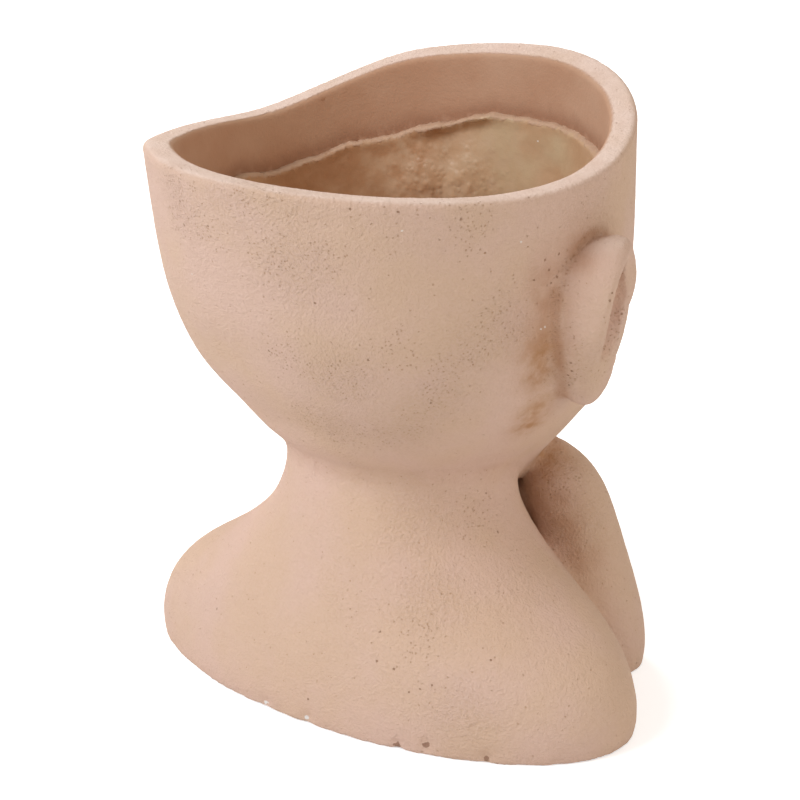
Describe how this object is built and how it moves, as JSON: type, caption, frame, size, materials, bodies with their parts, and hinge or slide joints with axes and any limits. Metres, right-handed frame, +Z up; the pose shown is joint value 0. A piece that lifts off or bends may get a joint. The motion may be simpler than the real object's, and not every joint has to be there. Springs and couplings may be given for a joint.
{
  "type": "head planter",
  "caption": "Open-topped head planter in matte cast resin: a head-shaped bowl on a neck and shoulders, chin resting on curled hands.",
  "frame": {"origin": "on the floor, at the middle of the footprint box under the neck", "axes": "+Z up, the figure faces -Y and its left is +X"},
  "size_m": [0.1742, 0.157, 0.1888],
  "materials": {
    "cast_shell": "matte sandy pinkish tan, pitted cast surface",
    "raw_resin": "rough lumpy raw resin, yellowish brown",
    "plug_rubber": "matte black rubber"
  },
  "bodies": {
    "body": {"head_bowl": "cast_shell", "resin_lining": "raw_resin", "bust_base": "cast_shell", "right_ear": "cast_shell", "left_ear": "cast_shell", "right_arm": "cast_shell", "left_arm": "cast_shell"},
    "plug": {"drain_plug": "plug_rubber"}
  },
  "joints": [
    {"name": "plug_pull", "type": "slide", "parent": "body", "child": "plug", "axis": [0, 0, 1], "range_m": [0, 0.04]}
  ]
}
